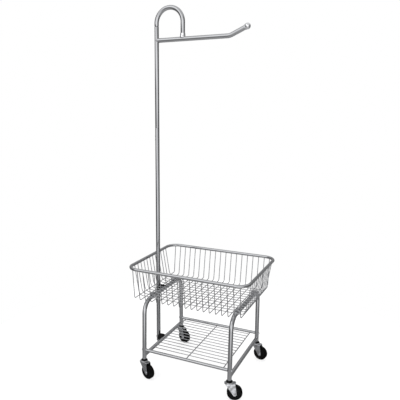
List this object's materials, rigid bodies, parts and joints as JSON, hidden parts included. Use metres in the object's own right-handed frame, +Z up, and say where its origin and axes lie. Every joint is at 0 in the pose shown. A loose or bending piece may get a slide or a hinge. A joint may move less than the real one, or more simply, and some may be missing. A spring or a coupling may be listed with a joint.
{
  "type": "wire laundry cart",
  "caption": "Chrome wire laundry cart on swivel casters, with a deep wire basket, a lower wire shelf and a single pole with a looped top and a short hanging arm.",
  "frame": {"origin": "on the floor under the middle of the basket, in the plane that the wheels stand on", "axes": "+X towards the end away from the pole, +Y from front to back across the cart, +Z up"},
  "size_m": [0.6538, 0.525, 1.8962],
  "materials": {
    "chrome_tube": "bright polished chrome plate on steel tube",
    "chrome_wire": "bright chrome plate on welded steel wire",
    "bright_hardware": "zinc plated bolts, screws and nuts",
    "zinc_plate": "bright zinc plated pressed steel",
    "caster_steel": "zinc plated turned steel",
    "black_plastic": "satin black moulded nylon",
    "wheel_plastic": "satin black moulded wheel core",
    "tyre_rubber": "matt black solid rubber tread"
  },
  "bodies": {
    "cart": {"left_arch": "chrome_tube", "right_arch": "chrome_tube", "left_side_rail": "chrome_tube", "right_side_rail": "chrome_tube", "front_shelf_rail": "chrome_tube", "back_shelf_rail": "chrome_tube", "shelf_rail_plugs": "black_plastic", "shelf_bolts": "bright_hardware", "shelf_cross_wires": "chrome_wire", "shelf_long_wires": "chrome_wire", "basket_rim": "chrome_tube", "rim_joiner": "bright_hardware", "basket_cross_wires": "chrome_wire", "basket_long_wires": "chrome_wire", "basket_clips": "bright_hardware", "pole_lower": "chrome_tube", "pole_cap": "black_plastic", "pole_sleeve": "bright_hardware", "pole_screws": "bright_hardware", "pole_upper": "chrome_tube", "pole_loop": "chrome_tube", "loop_collar": "chrome_tube", "hanging_arm": "chrome_tube", "arm_ball": "chrome_tube", "upper_spacer": "black_plastic", "lower_spacer": "black_plastic", "pole_bolts": "bright_hardware", "pole_nuts": "bright_hardware", "front_left_socket": "black_plastic", "front_left_stem": "caster_steel", "front_left_race_cap": "zinc_plate", "front_right_socket": "black_plastic", "front_right_stem": "caster_steel", "front_right_race_cap": "zinc_plate", "back_right_socket": "black_plastic", "back_right_stem": "caster_steel", "back_right_race_cap": "zinc_plate", "back_left_socket": "black_plastic", "back_left_stem": "caster_steel", "back_left_race_cap": "zinc_plate"},
    "front_left_swivel": {"front_left_fork": "zinc_plate", "front_left_axle": "caster_steel", "front_left_axle_nut": "caster_steel"},
    "front_left_wheel": {"front_left_wheel_core": "wheel_plastic", "front_left_tyre": "tyre_rubber"},
    "front_right_swivel": {"front_right_fork": "zinc_plate", "front_right_axle": "caster_steel", "front_right_axle_nut": "caster_steel"},
    "front_right_wheel": {"front_right_wheel_core": "wheel_plastic", "front_right_tyre": "tyre_rubber"},
    "back_right_swivel": {"back_right_fork": "zinc_plate", "back_right_axle": "caster_steel", "back_right_axle_nut": "caster_steel"},
    "back_right_wheel": {"back_right_wheel_core": "wheel_plastic", "back_right_tyre": "tyre_rubber"},
    "back_left_swivel": {"back_left_fork": "zinc_plate", "back_left_axle": "caster_steel", "back_left_axle_nut": "caster_steel"},
    "back_left_wheel": {"back_left_wheel_core": "wheel_plastic", "back_left_tyre": "tyre_rubber"}
  },
  "joints": [
    {"name": "front_left_swivel", "type": "hinge", "parent": "cart", "child": "front_left_swivel", "pos_m": [-0.2371, -0.2248, 0.087], "axis": [0, 0, 1], "continuous": true},
    {"name": "front_left_wheel_spin", "type": "hinge", "parent": "front_left_swivel", "child": "front_left_wheel", "pos_m": [-0.21142, -0.23246, 0.0381], "axis": [0.2857, 0.9583, 0], "continuous": true},
    {"name": "front_right_swivel", "type": "hinge", "parent": "cart", "child": "front_right_swivel", "pos_m": [0.2371, -0.2248, 0.087], "axis": [0, 0, 1], "continuous": true},
    {"name": "front_right_wheel_spin", "type": "hinge", "parent": "front_right_swivel", "child": "front_right_wheel", "pos_m": [0.26181, -0.21441, 0.0381], "axis": [-0.3875, 0.9219, 0], "continuous": true},
    {"name": "back_right_swivel", "type": "hinge", "parent": "cart", "child": "back_right_swivel", "pos_m": [0.2371, 0.2248, 0.087], "axis": [0, 0, 1], "continuous": true},
    {"name": "back_right_wheel_spin", "type": "hinge", "parent": "back_right_swivel", "child": "back_right_wheel", "pos_m": [0.26352, 0.22028, 0.0381], "axis": [0.1685, 0.9857, 0], "continuous": true},
    {"name": "back_left_swivel", "type": "hinge", "parent": "cart", "child": "back_left_swivel", "pos_m": [-0.2371, 0.2248, 0.087], "axis": [0, 0, 1], "continuous": true},
    {"name": "back_left_wheel_spin", "type": "hinge", "parent": "back_left_swivel", "child": "back_left_wheel", "pos_m": [-0.21149, 0.21692, 0.0381], "axis": [0.294, 0.9558, 0], "continuous": true}
  ]
}
